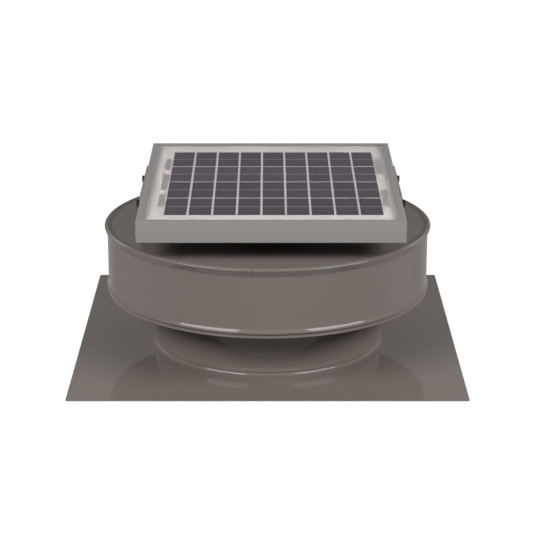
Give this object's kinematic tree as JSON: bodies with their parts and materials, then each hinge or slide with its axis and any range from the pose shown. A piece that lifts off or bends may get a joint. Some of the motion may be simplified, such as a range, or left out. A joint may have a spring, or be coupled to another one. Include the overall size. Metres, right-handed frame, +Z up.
{
  "type": "solar roof fan",
  "caption": "Solar roof fan: square roof flange, round stack with a motor-driven fan, flat round hood and a framed solar panel that tilts on side brackets above it.",
  "frame": {"origin": "centre of the square flange's underside, on the roof's plane; the stack's axis is 20 mm in front of it", "axes": "+Z up out of the roof, along the stack; -Y is the front, facing down the roof; +X to the right"},
  "size_m": [0.457, 0.457, 0.2054],
  "materials": {
    "housing_paint": "glossy powder coat on aluminium sheet",
    "zinc_steel": "zinc-plated steel",
    "rivet_aluminium": "bare aluminium",
    "screen_wire": "galvanised screen",
    "black_rubber": "soft rubber",
    "bracket_sheet": "mill-finish aluminium sheet",
    "motor_enamel": "black enamel",
    "bright_steel": "ground steel",
    "magnet_ferrite": "sintered ferrite",
    "fan_plastic": "moulded glass-filled plastic",
    "anodised_frame": "satin anodised extrusion",
    "cover_glass": "low-iron solar glass",
    "cell_silicon": "dark silicon cells",
    "tinned_ribbon": "tinned copper strip",
    "backsheet_film": "white polymer film",
    "box_plastic": "black moulded plastic",
    "black_steel": "black-finished steel"
  },
  "bodies": {
    "housing": {"base_flange": "housing_paint", "stack": "housing_paint", "hood_band": "housing_paint", "hood_top": "housing_paint", "hood_rim": "housing_paint", "hood_leg_1": "zinc_steel", "hood_leg_2": "zinc_steel", "hood_leg_3": "zinc_steel", "hood_leg_4": "zinc_steel", "leg_rivets": "rivet_aluminium", "exhaust_screen": "screen_wire", "hood_grommet": "black_rubber", "panel_bracket_left": "bracket_sheet", "panel_bracket_right": "bracket_sheet", "bracket_rivets": "rivet_aluminium", "motor_strap": "zinc_steel", "motor_screws": "zinc_steel", "motor_can": "motor_enamel", "motor_lid": "motor_enamel", "motor_bearings": "bright_steel", "motor_magnets": "magnet_ferrite"},
    "rotor": {"motor_armature": "bright_steel", "motor_shaft": "bright_steel", "fan_rotor": "fan_plastic", "hub_washer": "zinc_steel", "hub_nut": "zinc_steel"},
    "panel": {"frame_rail_front": "anodised_frame", "frame_rail_rear": "anodised_frame", "frame_rail_left": "anodised_frame", "frame_rail_right": "anodised_frame", "corner_keys": "anodised_frame", "cover_glass": "cover_glass", "solar_cells": "cell_silicon", "bus_ribbons": "tinned_ribbon", "backsheet": "backsheet_film", "junction_box": "box_plastic", "junction_lid": "box_plastic", "cable_gland": "box_plastic", "pivot_bolts": "black_steel", "lock_bolts": "black_steel", "bolt_washers": "black_steel", "bolt_nuts": "zinc_steel"}
  },
  "joints": [
    {"name": "fan_spin", "type": "hinge", "parent": "housing", "child": "rotor", "pos_m": [0, -0.02, 0.083], "axis": [0, 0, 1], "continuous": true},
    {"name": "panel_tilt", "type": "hinge", "parent": "housing", "child": "panel", "pos_m": [0.004, -0.07917, 0.18968], "axis": [1, 0, 0], "range_deg": [-4, 4]}
  ]
}
